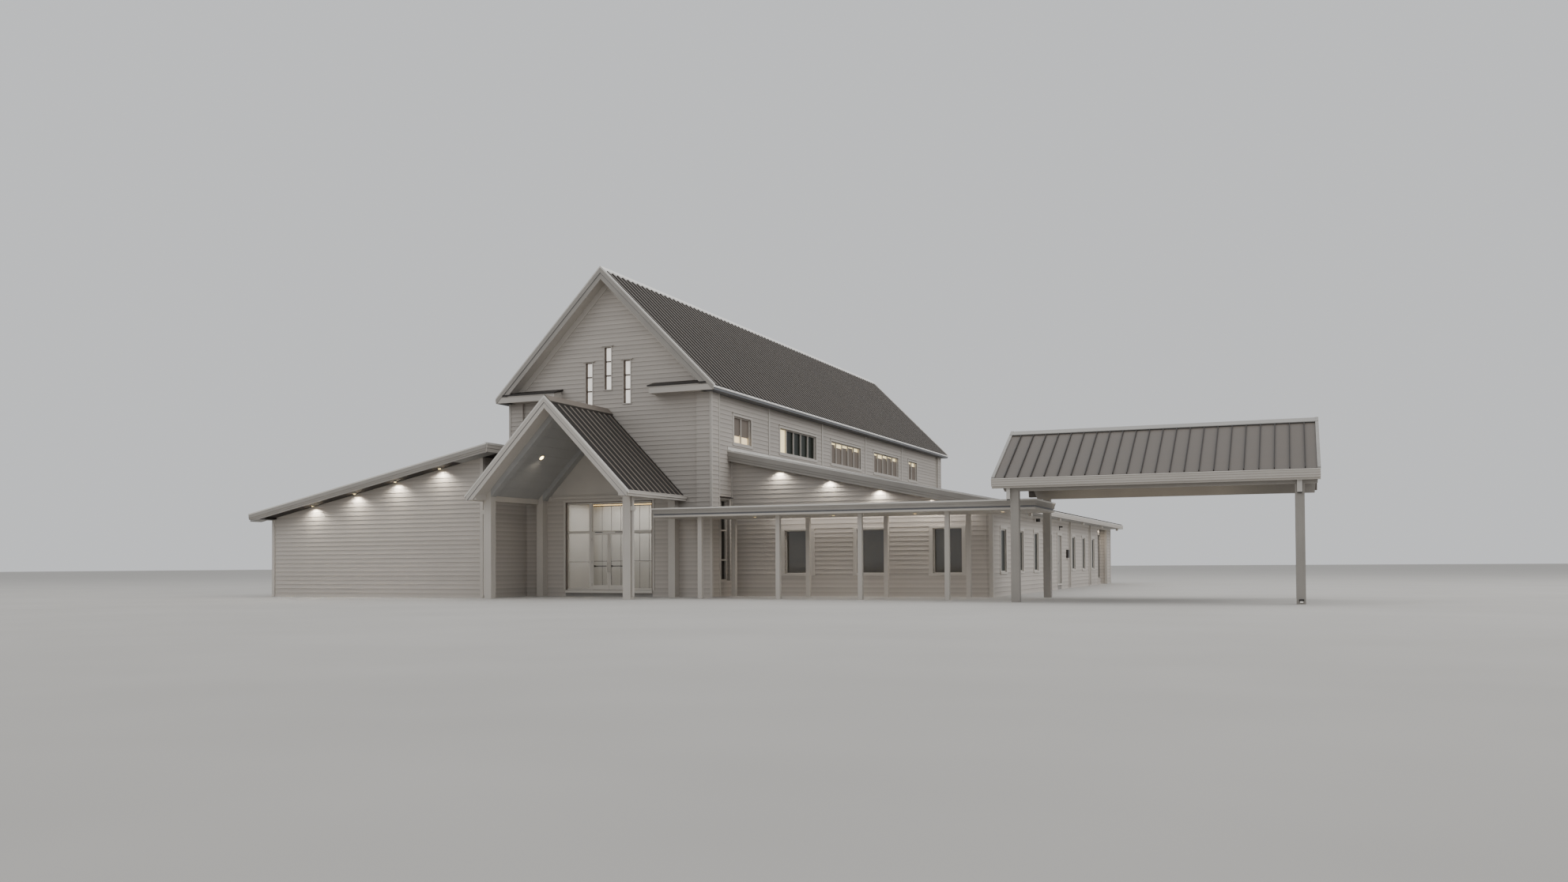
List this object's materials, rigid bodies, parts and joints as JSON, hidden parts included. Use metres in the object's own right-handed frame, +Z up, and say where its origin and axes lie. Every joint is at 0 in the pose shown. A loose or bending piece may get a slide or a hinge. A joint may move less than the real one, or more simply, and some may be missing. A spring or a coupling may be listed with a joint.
{
  "type": "modern church building, 1:2 scale model",
  "caption": "Single-storey modern church with a tall gabled nave, low lean-to wings, gabled entrance porch, flat walkway canopy and gabled carport; glazed entrance doors and a side door open.",
  "frame": {"origin": "ground level under the middle of the nave floor, on the underside of the floor slab", "axes": "+X to the right along the front with the carport on that side, +Y from the entrance front to the back, +Z up"},
  "size_m": [20.9375, 19.205, 6.62],
  "materials": {
    "siding": "painted lap siding, matt",
    "trim": "painted trim boards, matt",
    "roof_metal": "coated ribbed steel sheet, satin",
    "carport_metal": "coated standing-seam steel sheet, satin",
    "frame_metal": "clear anodised, satin",
    "window_glass": "tinted window glass",
    "floor_concrete": "trowelled concrete",
    "door_paint": "painted steel door, satin"
  },
  "bodies": {
    "root": {"floor": "floor_concrete", "nave_front_wall_left": "siding", "nave_front_wall_right": "siding", "nave_left_wall": "siding", "nave_right_wall": "siding", "nave_left_window_glass": "window_glass", "nave_right_window_glass": "window_glass", "nave_front_gable_wall": "siding", "gable_window_glass": "window_glass", "nave_back_wall": "siding", "nave_roof": "roof_metal", "nave_front_bargeboard": "trim", "nave_back_bargeboard": "trim", "entrance_frame": "frame_metal", "entrance_glass": "window_glass", "porch_roof": "trim", "porch_bargeboard": "trim", "porch_front_column_left": "trim", "porch_front_column_right": "trim", "porch_back_column_left": "trim", "porch_back_column_right": "trim", "left_wing_front_wall": "siding", "left_wing_side_wall": "siding", "left_wing_back_wall": "siding", "left_wing_roof": "roof_metal", "left_wing_side_glass": "window_glass", "right_wing_front_wall": "siding", "right_wing_side_wall_front": "siding", "right_wing_side_wall_back": "siding", "right_wing_wall_over_door": "siding", "right_wing_back_wall": "siding", "right_wing_roof": "roof_metal", "right_wing_front_glass": "window_glass", "right_wing_side_glass_front": "window_glass", "right_wing_side_glass_back": "window_glass", "right_wing_recess_glass": "window_glass", "canopy_roof": "trim", "canopy_front_posts": "trim", "canopy_back_posts": "trim", "carport_roof": "carport_metal", "carport_front_frame": "trim", "carport_back_frame": "trim"},
    "entrance_leaf_left": {"entrance_door_left": "frame_metal", "entrance_door_glass_left": "window_glass"},
    "entrance_leaf_right": {"entrance_door_right": "frame_metal", "entrance_door_glass_right": "window_glass"},
    "side_leaf": {"side_door": "door_paint"}
  },
  "joints": [
    {"name": "entrance_door_left_hinge", "type": "hinge", "parent": "root", "child": "entrance_leaf_left", "pos_m": [-0.4015, -8.285, 0.7], "axis": [0, 0, -1], "range_deg": [0, 90]},
    {"name": "entrance_door_right_hinge", "type": "hinge", "parent": "root", "child": "entrance_leaf_right", "pos_m": [0.4015, -8.285, 0.7], "axis": [0, 0, 1], "range_deg": [0, 90]},
    {"name": "side_door_hinge", "type": "hinge", "parent": "root", "child": "side_leaf", "pos_m": [7.64, -0.151, 0.7], "axis": [0, 0, 1], "range_deg": [0, 90]}
  ]
}
